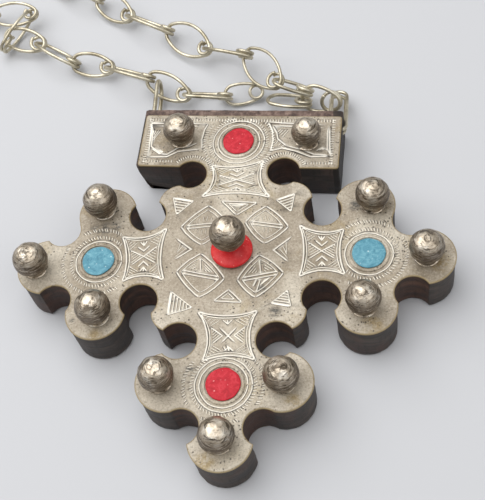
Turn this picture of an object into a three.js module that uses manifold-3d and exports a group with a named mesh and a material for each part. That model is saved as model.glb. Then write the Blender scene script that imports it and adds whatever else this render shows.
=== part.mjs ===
// Pendant cross: a wood core under a thin silver plate, ball studs, glass discs in
// bezels, a red centre boss and a hand-bent wire chain. It lies on its back: z = 0 is
// the back face, +Z faces the viewer and +Y points to the bar. Millimetres.
import * as THREE from 'three';
import { mergeVertices } from 'three/addons/utils/BufferGeometryUtils.js';
import Module from 'manifold-3d';

// Driving dimensions
const WOOD_THICKNESS = 9.0;
const PLATE_THICKNESS = 0.5;
const PLATE_OVERHANG = 0.15;
const SEAT_GAP = 0.12;
const FIT_GAP = 0.3;

// Arms: lobes stand out, bites cut in. Places along the arm and to either side of it.
const ARM_ROOT = 17.5;
const INNER_BITE = { along: 17.5, aside: 9.7, radius: 3.7 };
const SIDE_LOBE = { along: 25.8, aside: 11.1, radius: 5.9 };
const OUTER_BITE = { along: 34.5, aside: 7.95, radius: 3.5 };
const END_LOBE = { along: 36.8, aside: 0, radius: 6.0 };
const UPPER_CORNER = { across: 11.1, up: 12.9, radius: 4.4 };
const LOWER_CORNER = { across: 10.6, up: -11.4, radius: 4.2 };

// The side arms droop a little, as the handmade cross does. Studs a, b and c follow one
// another counter-clockwise; shifts say how far each stands from its lobe's centre, in x and y.
const ARMS = [
  { name: 'right', heading: 0, rise: 0.8, droop: 3.65, squeeze: 0, ball: 3.35,
    shifts: { a: [-0.4, -0.17], b: [0.4, -0.17], c: [1.5, 0.03] } },
  { name: 'left', heading: 180, rise: 0.6, droop: 5.0, squeeze: 0, ball: 3.45,
    shifts: { a: [-0.8, 0.73], b: [-2.2, -0.41], c: [0.6, -0.97] } },
  { name: 'bottom', heading: -90, rise: 0, droop: 0, squeeze: 0.5, ball: 3.35,
    shifts: { a: [-1.2, 0], b: [-0.1, -0.5], c: [0.2, -0.2] } },
];

// Bar across the top
const BAR_HALF_WIDTH = 20.6;
const BAR_HEIGHT = 13.0;
const BAR_CENTRE_Y = 27.85;
const BAR_SLANT = -3.35;
const BAR_CORNER_RADIUS = 0.6;
const BAR_WOOD_BORDER = 2.1;
const BAR_END_BORDER = 0.5;
const BAR_EDGE_ROUND = 0.5;
const BAR_BITE = { across: 9.5, up: 19.9, radius: 3.3 };

// Studs, discs and boss
const BAR_STUDS = [
  { across: -12.0, up: 0.95, ball: 3.3 },
  { across: 14.2, up: -0.85, ball: 3.05 },
];
const COLLAR_RADIUS = 2.5;
const COLLAR_HEIGHT = 0.25;
const NECK_RADIUS = 1.25;
const NECK_HEIGHT = 0.35;
const SHANK_RADIUS = 0.6;
const SHANK_DEPTH = 3.5;
const DISC_RADIUS = 3.3;
const DISC_HEIGHT = 0.4;
const DISC_CROWN = 0.12;
const DISC_ALONG = 26.4;
const BEZEL_WALL = 0.6;
const BEZEL_HEIGHT = 0.5;
const BEZEL_ROUND = 0.15;
const BAR_DISC_UP = -0.25;
const BOSS_CENTRE = [0.1, 1.4];
const BOSS_RADIUS = 4.1;
const BOSS_FOOT_RADIUS = 3.4;
const BOSS_FLARE_HEIGHT = 0.9;
const BOSS_NECK_RADIUS = 1.6;
const BOSS_HEIGHT = 2.9;
const CENTRE_BALL_RADIUS = 3.5;
const CENTRE_COLLAR_RADIUS = 2.0;

// Chain wire and links
const WIRE_RADIUS = 0.38;
const EYE_RADIUS = 1.42;
const EYE_SLIP = 0.1;
const PLAIN_END_RADIUS = 2.1;
const BOW_RADIUS = 10;
const LAYER_GAP = 0.16;
const FIRST_WRAP = 280;
const SECOND_WRAP = 215;
const WIRE_SIDES = 5;

// Wire loops on the bar
const LOOP_WIRE_RADIUS = 0.45;
const LEFT_LOOP_IN = 1.3;
const LEFT_LOOP_LOW = 0.95;
const LEFT_LOOP_WIDTH = 4.6;
const LEFT_LOOP_REACH = 11.6;
const LOOP_LEG_DEPTH = 4.0;
const RING_TURNS = 2;
const RING_PITCH = 1.15;
const RING_HALF_WIDTH = 1.65;
const RING_LENGTH = 14.4;
const RING_TILT = 20;
const RING_IN = 0.35;
const RING_BELOW_TOP = 4.4;
const RING_HEIGHT_AT_TOP = 5.3;
const RING_EYE_SHARE = 0.4;

// The chain as it lies in the photo. Headings run from a link's eye to its plain end,
// heights are those of the plain ends, and at says where on the plain end before it hangs.
const RING_LINK = { heading: 165, reach: 6.6, height: 3.5, eyeRadius: 2.0, endRadius: 3.0, twist: -12 };
const RIGHT_LINKS = [
  { heading: 172, length: 6.6, height: 7.2, at: 152, twist: -18, eyeRadius: 1.7 },
  { heading: 128, length: 11.5, height: 5.6, at: 146, twist: -14, eyeRadius: 1.7 },
  { heading: 159, length: 10.2, height: 3.9, at: 192, twist: 6, eyeRadius: 1.7 },
  { heading: 144, length: 11.9, height: 3.0 },
  { heading: 152, length: 11.4, height: 3.0 },
  { heading: 144, length: 10.2, height: 2.8 },
  { heading: 153, length: 10.0, height: 2.8 },
  { heading: 140, length: 10.0, height: 2.8 },
  { heading: 130, length: 10.0, height: 2.8 },
  { heading: 140, length: 10.0, height: 2.8 },
  { heading: 150, length: 10.0, height: 2.8 },
  { heading: 155, length: 10.0, height: 2.8 },
  { heading: 160, length: 10.0, height: 2.8 },
];
const UNDER_RING_LINK = { heading: 167, length: 8.0, height: 1.9, at: 208, eyeRadius: 1.6 };

// The link on the left loop: its plain end from the loop's outer end, and its eye
const LOOP_LINK_END = [-2.75, 0.9, 1.15];
const LOOP_LINK = { heading: -26.57, length: 9.39, height: 3.1, eyeWire: [-0.25, -0.51, 0.82] };

// The middle links share out the room up to the link under the ring, less an open gap
const MIDDLE_GAP = 2.65;
const MIDDLE_LINKS = [
  { heading: -3, share: 0.568, height: 2.4 },
  { heading: 10, share: 0.432, height: 2.0 },
];
const LEFT_LINKS = [
  { heading: 154, length: 11.6, height: 2.8 },
  { heading: 167, length: 8.8, height: 2.8 },
  { heading: 146, length: 11.2, height: 3.0, eyeRadius: 1.55 },
  { heading: 167, length: 8.3, height: 4.0, eyeRadius: 1.6, twist: -4 },
  { heading: 61, length: 9.7, height: 3.9, at: 236, eyeRadius: 1.95 },
  { heading: 174, length: 10.0, height: 3.2 },
  { heading: 165, length: 10.0, height: 3.15 },
  { heading: 155, length: 10.0, height: 3.15 },
  { heading: 150, length: 10.0, height: 3.15 },
  { heading: 150, length: 10.0, height: 3.15 },
  { heading: 145, length: 10.0, height: 3.15 },
  { heading: 140, length: 10.0, height: 3.15, hook: true },
];

const FRONT = WOOD_THICKNESS + SEAT_GAP;
const PLATE_TOP = FRONT + PLATE_THICKNESS;
const OVERRUN = 1.0;
const CURVE_STEPS = 7;
const ROUND_STEPS = 14;
const DISC_STEPS = 20;
const RAD = Math.PI / 180;

const SILVER = { color: 0xbeb2a0, roughness: 0.42, metalness: 0.8 };
const CHAIN_SILVER = { color: 0xd2c8aa, roughness: 0.35, metalness: 0.9 };
const WOOD = { color: 0x3c302a, roughness: 0.7, metalness: 0.0 };
const RED_GLASS = { color: 0xcd2d3c, roughness: 0.25, metalness: 0.0 };
const BLUE_GLASS = { color: 0x64aac3, roughness: 0.3, metalness: 0.0 };

const wasm = await Module();
wasm.setup();

const part = new THREE.Group();
part.name = 'cross_pendant';

function addNode(name, geometry, look) {
  const mesh = new THREE.Mesh(geometry, new THREE.MeshStandardMaterial(look));
  mesh.name = name;
  part.add(mesh);
  return mesh;
}

// Booleans

function toManifold(geometry) {
  const bare = geometry.clone();
  bare.deleteAttribute('normal');
  bare.deleteAttribute('uv');
  const merged = mergeVertices(bare, 1e-5);
  return new wasm.Manifold(new wasm.Mesh({
    numProp: 3,
    vertProperties: Float32Array.from(merged.attributes.position.array),
    triVerts: Uint32Array.from(merged.index.array),
  }));
}

function fromManifold(solid) {
  const mesh = solid.getMesh();
  const geometry = new THREE.BufferGeometry();
  geometry.setAttribute('position', new THREE.BufferAttribute(mesh.vertProperties, 3));
  geometry.setIndex(new THREE.BufferAttribute(mesh.triVerts, 1));
  geometry.computeVertexNormals();
  return geometry;
}

function subtract(geometry, cutters) {
  const solid = cutters.reduce((body, cutter) => body.subtract(toManifold(cutter)), toManifold(geometry));
  return fromManifold(solid);
}

// Outline of the cross: round lobes and bites that meet in cusps

function turn([x, y], degrees) {
  const c = Math.cos(degrees * RAD);
  const s = Math.sin(degrees * RAD);
  return [x * c - y * s, x * s + y * c];
}

function armPoint(arm, along, aside) {
  const [x, y] = turn([along, aside], arm.heading);
  return [x, y + arm.rise - (along - ARM_ROOT) * Math.tan(arm.droop * RAD)];
}

function armCircle(arm, feature, side, grow) {
  const convex = feature === SIDE_LOBE || feature === END_LOBE;
  const aside = feature.aside - (feature.aside ? arm.squeeze : 0);
  return {
    centre: armPoint(arm, feature.along, side * aside),
    radius: feature.radius + (convex ? grow : -grow),
    convex,
  };
}

// Circles round one arm, counter-clockwise
function armCircles(name, grow) {
  const arm = ARMS.find((candidate) => candidate.name === name);
  const order = [
    [INNER_BITE, -1], [SIDE_LOBE, -1], [OUTER_BITE, -1], [END_LOBE, 0],
    [OUTER_BITE, 1], [SIDE_LOBE, 1], [INNER_BITE, 1],
  ];
  return order.map(([feature, side]) => armCircle(arm, feature, side, grow));
}

function cornerLobe(corner, side, grow) {
  return { centre: [side * corner.across, corner.up], radius: corner.radius + grow, convex: true };
}

function barBite(side, grow) {
  return { centre: [side * BAR_BITE.across, BAR_BITE.up], radius: BAR_BITE.radius - grow, convex: false };
}

// Where two neighbouring circles meet, on the outside of a counter-clockwise outline
function circlesMeet(a, b) {
  const dx = b.centre[0] - a.centre[0];
  const dy = b.centre[1] - a.centre[1];
  const gap = Math.hypot(dx, dy);
  const touching = gap >= a.radius + b.radius;
  const along = touching
    ? gap * a.radius / (a.radius + b.radius)
    : (gap * gap + a.radius ** 2 - b.radius ** 2) / (2 * gap);
  const aside = Math.sqrt(Math.max(0, a.radius ** 2 - along ** 2)) * (touching ? 0 : 1);
  return [
    a.centre[0] + (dx * along + dy * aside) / gap,
    a.centre[1] + (dy * along - dx * aside) / gap,
  ];
}

// Where a bite leaves the bar's straight lower edge, on the side of the bar's end
function biteMeetsEdge(bite, side, edgeY) {
  const slope = Math.tan(BAR_SLANT * RAD);
  const foot = edgeY + slope * bite.centre[0] - bite.centre[1];
  const reach = Math.sqrt(Math.max(0.01, bite.radius ** 2 - (foot * Math.cos(BAR_SLANT * RAD)) ** 2));
  const x = bite.centre[0] + side * reach;
  return [x, edgeY + slope * x];
}

function arcPoints(circle, from, to, steps) {
  const a = Math.atan2(from[1] - circle.centre[1], from[0] - circle.centre[0]);
  let b = Math.atan2(to[1] - circle.centre[1], to[0] - circle.centre[0]);
  if (circle.convex && b < a) b += 2 * Math.PI;
  if (!circle.convex && b > a) b -= 2 * Math.PI;
  const points = [];
  for (let i = 0; i < steps; i += 1) {
    const angle = a + (b - a) * i / steps;
    points.push([
      circle.centre[0] + circle.radius * Math.cos(angle),
      circle.centre[1] + circle.radius * Math.sin(angle),
    ]);
  }
  return points;
}

// Bar's corners from its lower right, counter-clockwise, each rounded a little
function barCorners(border, ends) {
  const half = BAR_HALF_WIDTH + ends;
  const low = -BAR_HEIGHT / 2;
  const high = BAR_HEIGHT / 2 + border;
  const corners = [[half, low], [half, high], [-half, high], [-half, low]];
  const r = BAR_CORNER_RADIUS;
  return corners.flatMap(([x, y], i) => {
    const centre = [x - Math.sign(x) * r, y - Math.sign(y) * r];
    const start = -90 + 90 * i;
    return [0, 30, 60, 90].map((angle) => {
      const [dx, dy] = turn([r, 0], start + angle);
      const [u, v] = turn([centre[0] + dx, centre[1] + dy], BAR_SLANT);
      return [u, v + BAR_CENTRE_Y];
    });
  });
}

function crossOutline(grow, border, ends) {
  const edgeY = BAR_CENTRE_Y - (BAR_HEIGHT / 2) / Math.cos(BAR_SLANT * RAD);
  const lowerRun = [
    barBite(-1, grow), cornerLobe(UPPER_CORNER, -1, grow),
    ...armCircles('left', grow), cornerLobe(LOWER_CORNER, -1, grow),
    ...armCircles('bottom', grow), cornerLobe(LOWER_CORNER, 1, grow),
    ...armCircles('right', grow), cornerLobe(UPPER_CORNER, 1, grow), barBite(1, grow),
  ];
  const meets = lowerRun.slice(1).map((circle, i) => circlesMeet(lowerRun[i], circle));
  const starts = [biteMeetsEdge(lowerRun[0], -1, edgeY), ...meets];
  const stops = [...meets, biteMeetsEdge(lowerRun.at(-1), 1, edgeY)];
  const run = lowerRun.flatMap((circle, i) => arcPoints(circle, starts[i], stops[i], CURVE_STEPS));
  run.push(stops.at(-1));
  return [...run, ...barCorners(border, ends)];
}

function plateShape(outline) {
  return new THREE.Shape(outline.map(([x, y]) => new THREE.Vector2(x, y)));
}

function slab(outline, bottom, thickness) {
  const geometry = new THREE.ExtrudeGeometry(plateShape(outline), { depth: thickness, bevelEnabled: false });
  return geometry.translate(0, 0, bottom);
}

// Turned pieces stand on the z axis: profile points are [radius, height]
function turned(profile, steps, [x, y]) {
  const closed = [...profile, profile[0]].map(([r, h]) => new THREE.Vector2(r, h));
  const geometry = new THREE.LatheGeometry(closed, steps);
  geometry.rotateX(Math.PI / 2);
  geometry.translate(x, y, 0);
  geometry.deleteAttribute('normal');
  geometry.deleteAttribute('uv');
  return dropSlivers(mergeVertices(geometry, 1e-5));
}

// A lathe leaves triangles of no area on its axis
function dropSlivers(geometry) {
  const kept = [];
  const index = geometry.index.array;
  for (let i = 0; i < index.length; i += 3) {
    const [a, b, c] = [index[i], index[i + 1], index[i + 2]];
    if (a !== b && b !== c && c !== a) kept.push(a, b, c);
  }
  geometry.setIndex(kept);
  geometry.computeVertexNormals();
  return geometry;
}

function rod(radius, low, high, [x, y], steps = ROUND_STEPS) {
  return turned([[0, low], [radius, low], [radius, high], [0, high]], steps, [x, y]);
}

// Wire

// Tube of round wire along points; side is a direction that the wire never runs in
function wire(points, radius, side, closed = false) {
  const count = points.length;
  const positions = [];
  points.forEach((point, i) => {
    const before = points[closed ? (i + count - 1) % count : Math.max(0, i - 1)];
    const after = points[closed ? (i + 1) % count : Math.min(count - 1, i + 1)];
    const along = after.clone().sub(before).normalize();
    const across = side.clone().addScaledVector(along, -side.dot(along)).normalize();
    const other = along.clone().cross(across);
    for (let k = 0; k < WIRE_SIDES; k += 1) {
      const angle = 2 * Math.PI * k / WIRE_SIDES;
      const rim = point.clone().addScaledVector(across, radius * Math.cos(angle));
      rim.addScaledVector(other, radius * Math.sin(angle));
      positions.push(rim.x, rim.y, rim.z);
    }
  });
  const index = [];
  const rings = closed ? count : count - 1;
  for (let i = 0; i < rings; i += 1) {
    for (let k = 0; k < WIRE_SIDES; k += 1) {
      const a = i * WIRE_SIDES + k;
      const b = i * WIRE_SIDES + (k + 1) % WIRE_SIDES;
      const c = ((i + 1) % count) * WIRE_SIDES + k;
      const d = ((i + 1) % count) * WIRE_SIDES + (k + 1) % WIRE_SIDES;
      index.push(a, b, c, b, d, c);
    }
  }
  if (!closed) {
    const last = (count - 1) * WIRE_SIDES;
    for (let k = 1; k < WIRE_SIDES - 1; k += 1) {
      index.push(0, k + 1, k);
      index.push(last, last + k, last + k + 1);
    }
  }
  const geometry = new THREE.BufferGeometry();
  geometry.setAttribute('position', new THREE.Float32BufferAttribute(positions, 3));
  geometry.setIndex(index);
  geometry.computeVertexNormals();
  return geometry;
}

// One link in its own plane, eye at the origin, plain end at x = -length. The outline
// is convex, so it is written by the angle of its outward normal, in degrees: first
// wrap of the eye, upper bow, plain end, lower bow, second wrap one layer down.
function linkPath({ length, eyeRadius, endRadius, hook }) {
  const endX = endRadius - length;
  const toEye = BOW_RADIUS - eyeRadius;
  const toEnd = BOW_RADIUS - endRadius;
  const bowX = (endX ** 2 + toEye ** 2 - toEnd ** 2) / (2 * endX);
  const bowY = -Math.sqrt(toEye ** 2 - bowX ** 2);
  const eyeTurn = Math.atan2(-bowY, -bowX) / RAD;
  const endTurn = Math.atan2(-bowY, endX - bowX) / RAD;
  const runs = [
    { x: 0, y: 0, r: eyeRadius, from: eyeTurn - FIRST_WRAP, to: eyeTurn, steps: 8 },
    { x: bowX, y: bowY, r: BOW_RADIUS, from: eyeTurn, to: endTurn, steps: 3 },
    { x: endX, y: 0, r: endRadius, from: endTurn, to: 360 - endTurn, steps: 5 },
  ];
  if (!hook) {
    runs.push({ x: bowX, y: -bowY, r: BOW_RADIUS, from: 360 - endTurn, to: 360 - eyeTurn, steps: 3 });
    runs.push({ x: 0, y: 0, r: eyeRadius, from: 360 - eyeTurn, to: 360 - eyeTurn + SECOND_WRAP, steps: 6 });
  }
  const points = [];
  runs.forEach((run, i) => {
    const last = i === runs.length - 1;
    for (let k = 0; k < run.steps + (last ? 1 : 0); k += 1) {
      const angle = run.from + (run.to - run.from) * k / run.steps;
      const share = Math.min(1, Math.max(0, (angle - eyeTurn) / (360 - 2 * eyeTurn)));
      points.push(new THREE.Vector3(
        run.x + run.r * Math.cos(angle * RAD),
        run.y + run.r * Math.sin(angle * RAD),
        (WIRE_RADIUS + LAYER_GAP / 2) * Math.cos(share * Math.PI),
      ));
    }
  });
  return points;
}

function headingVector(degrees) {
  return new THREE.Vector3(Math.cos(degrees * RAD), Math.sin(degrees * RAD), 0);
}

// A link between its eye and its plain end. Its plane is square to the wire that runs
// through its eye, as near as its length allows, and then twisted about its length.
function placeLink(name, eye, plain, eyeWire, shape = {}) {
  const along = eye.clone().sub(plain).normalize();
  const normal = eyeWire.clone().addScaledVector(along, -eyeWire.dot(along)).normalize();
  normal.multiplyScalar(Math.sign(normal.z) || 1).applyAxisAngle(along, (shape.twist || 0) * RAD);
  return {
    name,
    eye,
    plain,
    along,
    across: normal.clone().cross(along),
    normal,
    length: eye.distanceTo(plain),
    eyeRadius: shape.eyeRadius || EYE_RADIUS,
    endRadius: shape.endRadius || PLAIN_END_RADIUS,
    hook: shape.hook || false,
    hinge: { at: eye, axis: normal },
  };
}

// Point and wire direction on a link's plain end, by the angle round it (180 is its tip)
function plainEnd(link, angle = 180) {
  const c = Math.cos(angle * RAD);
  const s = Math.sin(angle * RAD);
  const reach = link.endRadius - EYE_SLIP;
  const centre = link.eye.clone().addScaledVector(link.along, link.endRadius - link.length);
  return {
    point: centre.addScaledVector(link.along, reach * c).addScaledVector(link.across, reach * s),
    wire: link.along.clone().multiplyScalar(-s).addScaledVector(link.across, c),
  };
}

// The next link hangs by its eye on the plain end of the one before
function hangLink(name, before, { heading, length, height, at, ...shape }) {
  const { point, wire: eyeWire } = plainEnd(before, at);
  const plain = point.clone().addScaledVector(headingVector(heading), length).setZ(height);
  return placeLink(name, point, plain, eyeWire, shape);
}

// The next link passes its plain end through the eye of the one before, and turns in it
function threadLink(name, before, { heading, length, height, ...shape }) {
  const plain = before.eye;
  const eye = plain.clone().addScaledVector(headingVector(heading), length).setZ(height);
  const eyeWire = eye.clone().sub(plain).cross(before.normal);
  return { ...placeLink(name, eye, plain, eyeWire, shape), hinge: ownHinge(before) };
}

function ownHinge(link) {
  return { at: link.eye, axis: link.normal };
}

function linkMesh(link) {
  const points = linkPath(link).map((local) => link.eye.clone()
    .addScaledVector(link.along, local.x)
    .addScaledVector(link.across, local.y)
    .addScaledVector(link.normal, local.z));
  const mesh = addNode(link.name, wire(points, WIRE_RADIUS, link.normal), CHAIN_SILVER);
  mesh.userData.hinge = link.hinge;
}

// Sub-parts

function studPlaces() {
  const places = BAR_STUDS.map(({ across, up, ball }, i) => (
    { name: `stud_bar_${i + 1}`, at: [across, BAR_CENTRE_Y + up], radius: ball }));
  ARMS.forEach((arm) => {
    [['a', SIDE_LOBE, -1], ['b', END_LOBE, 0], ['c', SIDE_LOBE, 1]].forEach(([letter, lobe, side]) => {
      const [x, y] = armCircle(arm, lobe, side, 0).centre;
      const [dx, dy] = arm.shifts[letter];
      places.push({ name: `stud_${arm.name}_${letter}`, at: [x + dx, y + dy], radius: arm.ball });
    });
  });
  return places;
}

function discPlaces() {
  const onArms = ARMS.map((arm) => ({
    name: arm.name,
    at: armPoint(arm, DISC_ALONG, 0),
    look: arm.name === 'bottom' ? RED_GLASS : BLUE_GLASS,
  }));
  return [{ name: 'bar', at: [0, BAR_CENTRE_Y + BAR_DISC_UP], look: RED_GLASS }, ...onArms];
}

const shankHoles = (low, high) => [...studPlaces().map((stud) => stud.at), BOSS_CENTRE]
  .map((at) => rod(SHANK_RADIUS + FIT_GAP, low, high, at));

// A ball with its collar, on a shank that goes through whatever it stands on
function studGeometry(radius, collar, foot, at) {
  const seat = foot + SEAT_GAP;
  const centre = seat + NECK_HEIGHT + Math.sqrt(radius ** 2 - NECK_RADIUS ** 2);
  const low = Math.asin((seat + NECK_HEIGHT - centre) / radius);
  const profile = [
    [0, WOOD_THICKNESS - SHANK_DEPTH], [SHANK_RADIUS, WOOD_THICKNESS - SHANK_DEPTH],
    [SHANK_RADIUS, seat], [collar, seat], [collar, seat + COLLAR_HEIGHT / 2],
    [NECK_RADIUS, seat + COLLAR_HEIGHT],
  ];
  const rows = 7;
  for (let i = 0; i <= rows; i += 1) {
    const angle = low + (Math.PI / 2 - low) * i / rows;
    profile.push([i === rows ? 0 : radius * Math.cos(angle), centre + radius * Math.sin(angle)]);
  }
  return turned(profile, ROUND_STEPS, at);
}

// Flared bead: a rounded foot, a hollow cone up to a narrow neck, and a bore
function bossGeometry() {
  const bore = SHANK_RADIUS + FIT_GAP;
  const foot = PLATE_TOP + SEAT_GAP;
  const cone = BOSS_HEIGHT - BOSS_FLARE_HEIGHT;
  const profile = [[bore, foot], [BOSS_FOOT_RADIUS, foot], [BOSS_RADIUS, foot + BOSS_FLARE_HEIGHT / 2]];
  const rows = 5;
  for (let i = 0; i <= rows; i += 1) {
    const rise = i / rows;
    profile.push([
      BOSS_NECK_RADIUS + (BOSS_RADIUS - BOSS_NECK_RADIUS) * (1 - rise) ** 2,
      foot + BOSS_FLARE_HEIGHT + cone * rise,
    ]);
  }
  profile.push([bore, foot + BOSS_HEIGHT]);
  return turned(profile, DISC_STEPS, BOSS_CENTRE);
}

function bezelGeometry(at) {
  const inner = DISC_RADIUS + SEAT_GAP;
  const low = PLATE_TOP + SEAT_GAP;
  const high = low + BEZEL_HEIGHT;
  const outer = inner + BEZEL_WALL;
  const profile = [
    [inner, low], [outer, low], [outer, high - BEZEL_ROUND], [outer - BEZEL_ROUND, high], [inner, high],
  ];
  return turned(profile, DISC_STEPS, at);
}

function discGeometry(at) {
  const low = PLATE_TOP + SEAT_GAP;
  const crown = [0, 0.35, 0.7, 1].map((share) => [
    DISC_RADIUS * (1 - share), low + DISC_HEIGHT + DISC_CROWN * (1 - (1 - share) ** 2),
  ]);
  return turned([[0, low], [DISC_RADIUS, low], ...crown], DISC_STEPS, at);
}

// Height of the bar's top face at x, in plan
function barTopY(x) {
  const half = (BAR_HEIGHT / 2 + BAR_WOOD_BORDER) / Math.cos(BAR_SLANT * RAD);
  return BAR_CENTRE_Y + half + x * Math.tan(BAR_SLANT * RAD);
}

// Rounding of the wood's front edge along the top of the bar, as what is cut away
function edgeCutter() {
  const r = BAR_EDGE_ROUND;
  const shape = new THREE.Shape();
  shape.moveTo(-OVERRUN, -r);
  for (let i = 0; i <= 5; i += 1) {
    const angle = Math.PI - (Math.PI / 2) * i / 5;
    shape.lineTo(r + r * Math.cos(angle), -r + r * Math.sin(angle));
  }
  shape.lineTo(r, OVERRUN);
  shape.lineTo(-OVERRUN, OVERRUN);
  const length = 2 * (BAR_HALF_WIDTH + BAR_END_BORDER + 3 * OVERRUN);
  const geometry = new THREE.ExtrudeGeometry(shape, { depth: length, bevelEnabled: false });
  const toBar = new THREE.Matrix4().makeBasis(
    new THREE.Vector3(0, -1, 0), new THREE.Vector3(0, 0, 1), new THREE.Vector3(-1, 0, 0));
  geometry.applyMatrix4(toBar);
  geometry.translate(length / 2, BAR_HEIGHT / 2 + BAR_WOOD_BORDER, 0);
  geometry.rotateZ(BAR_SLANT * RAD);
  return geometry.translate(0, BAR_CENTRE_Y, WOOD_THICKNESS);
}

// Staple of one wire in the bar's top face, standing in a plane across the bar
const leftLoopX = -(BAR_HALF_WIDTH + BAR_END_BORDER - LEFT_LOOP_IN);

function leftLoopPath(extra) {
  const face = barTopY(leftLoopX);
  const bend = LEFT_LOOP_WIDTH / 2;
  const middle = LEFT_LOOP_LOW + bend;
  const endY = face + LEFT_LOOP_REACH - bend;
  const at = (y, z) => new THREE.Vector3(leftLoopX, y, z);
  const points = [at(face - LOOP_LEG_DEPTH - extra, LEFT_LOOP_LOW), at(face + OVERRUN, LEFT_LOOP_LOW)];
  for (let i = 0; i <= 8; i += 1) {
    const angle = -Math.PI / 2 + Math.PI * i / 8;
    points.push(at(endY + bend * Math.cos(angle), middle + bend * Math.sin(angle)));
  }
  points.push(at(face + OVERRUN, middle + bend), at(face - LOOP_LEG_DEPTH - extra, middle + bend));
  return points;
}

// Squashed ring of two turns through the bar's upper right corner. Its plane runs
// from the hole in the top face down to the table.
function ringPath() {
  const outward = new THREE.Vector3(0, Math.cos(RING_TILT * RAD), -Math.sin(RING_TILT * RAD));
  const across = new THREE.Vector3(1, 0, 0);
  const stack = across.clone().multiplyScalar(0.25).addScaledVector(across.clone().cross(outward), 0.97);
  const endX = BAR_HALF_WIDTH + BAR_END_BORDER;
  const innerX = endX + RING_IN + WIRE_RADIUS - 2 * RING_HALF_WIDTH;
  const entry = new THREE.Vector3(innerX + RING_HALF_WIDTH, barTopY(innerX), RING_HEIGHT_AT_TOP);
  const straight = RING_LENGTH - 2 * RING_HALF_WIDTH;
  const low = entry.addScaledVector(outward, -RING_BELOW_TOP + RING_HALF_WIDTH);
  const turnPoints = [];
  const put = (u, v) => turnPoints.push(low.clone().addScaledVector(outward, u).addScaledVector(across, v));
  for (let i = 0; i < 6; i += 1) {
    const angle = -Math.PI / 2 + Math.PI * i / 6;
    put(-RING_HALF_WIDTH * Math.cos(angle), RING_HALF_WIDTH * Math.sin(angle));
  }
  [0, 0.33, 0.67].forEach((share) => put(straight * share, RING_HALF_WIDTH));
  for (let i = 0; i < 6; i += 1) {
    const angle = Math.PI / 2 - Math.PI * i / 6;
    put(straight + RING_HALF_WIDTH * Math.cos(angle), RING_HALF_WIDTH * Math.sin(angle));
  }
  [1, 0.67, 0.33].forEach((share) => put(straight * share, -RING_HALF_WIDTH));
  const perTurn = turnPoints.length;
  const points = [];
  for (let i = 0; i <= perTurn * RING_TURNS; i += 1) {
    const drift = RING_PITCH * (i / perTurn - RING_TURNS / 2);
    points.push(turnPoints[i % perTurn].clone().addScaledVector(stack, drift));
  }
  return { points, perTurn, normal: stack.clone().normalize(), outward };
}

// Assembly

const ring = ringPath();
const loopSide = new THREE.Vector3(1, 0, 0);
const holeGrowth = FIT_GAP / Math.cos(Math.PI / WIRE_SIDES);
const halfTurn = ring.perTurn / 2;
const beyond = (end, inner) => end.clone().addScaledVector(end.clone().sub(inner).normalize(), FIT_GAP);
const ringHolePath = [
  beyond(ring.points[0], ring.points[1]), ...ring.points, beyond(ring.points.at(-1), ring.points.at(-2)),
];
const ringHoles = [0, 1, 2, 3].map((k) => wire(
  ringHolePath.slice(k * halfTurn, (k + 1) * halfTurn + 3), WIRE_RADIUS + holeGrowth, ring.normal));

const coreOutline = crossOutline(-PLATE_OVERHANG, BAR_WOOD_BORDER, BAR_END_BORDER);
addNode('wood_core', subtract(slab(coreOutline, 0, WOOD_THICKNESS), [
  edgeCutter(),
  ...shankHoles(WOOD_THICKNESS - SHANK_DEPTH - FIT_GAP, WOOD_THICKNESS + OVERRUN),
  wire(leftLoopPath(FIT_GAP), LOOP_WIRE_RADIUS + holeGrowth, loopSide),
  ...ringHoles,
]), WOOD);

const plateSlab = slab(crossOutline(0, 0, 0), FRONT, PLATE_THICKNESS);
addNode('front_plate', subtract(plateSlab, shankHoles(FRONT - OVERRUN, PLATE_TOP + OVERRUN)), SILVER);

studPlaces().forEach(({ name, radius, at }) => {
  addNode(name, studGeometry(radius, COLLAR_RADIUS, PLATE_TOP, at), SILVER);
});
addNode('boss_bead', bossGeometry(), RED_GLASS);
const bossTop = PLATE_TOP + SEAT_GAP + BOSS_HEIGHT;
const centreStud = studGeometry(CENTRE_BALL_RADIUS, CENTRE_COLLAR_RADIUS, bossTop, BOSS_CENTRE);
addNode('stud_centre', centreStud, SILVER);
discPlaces().forEach((disc) => {
  addNode(`bezel_${disc.name}`, bezelGeometry(disc.at), SILVER);
  addNode(`disc_${disc.name}`, discGeometry(disc.at), disc.look);
});

addNode('loop_left', wire(leftLoopPath(0), LOOP_WIRE_RADIUS, loopSide), CHAIN_SILVER);
addNode('ring_right', wire(ring.points, WIRE_RADIUS, ring.normal), CHAIN_SILVER);

// Chain

const legPoint = (i) => ring.points[i].clone().lerp(ring.points[i + ring.perTurn], 0.5);
const ringGrip = legPoint(ring.perTurn - 3).lerp(legPoint(ring.perTurn - 2), RING_EYE_SHARE);
const ringLinkEnd = ringGrip.clone().addScaledVector(headingVector(RING_LINK.heading), RING_LINK.reach)
  .setZ(RING_LINK.height);
const ringLink = placeLink('link_ring', ringGrip, ringLinkEnd, ring.outward, RING_LINK);

const loopEnd = new THREE.Vector3(
  leftLoopX, barTopY(leftLoopX) + LEFT_LOOP_REACH, LEFT_LOOP_LOW + LEFT_LOOP_WIDTH / 2);
const loopLinkEnd = loopEnd.clone().add(new THREE.Vector3(...LOOP_LINK_END));
const loopLinkEye = loopLinkEnd.clone().addScaledVector(headingVector(LOOP_LINK.heading), LOOP_LINK.length)
  .setZ(LOOP_LINK.height);
const loopLink = placeLink('link_loop', loopLinkEye, loopLinkEnd, new THREE.Vector3(...LOOP_LINK.eyeWire));
loopLink.hinge = { at: loopEnd, axis: new THREE.Vector3(0, 0, 1) };

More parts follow.
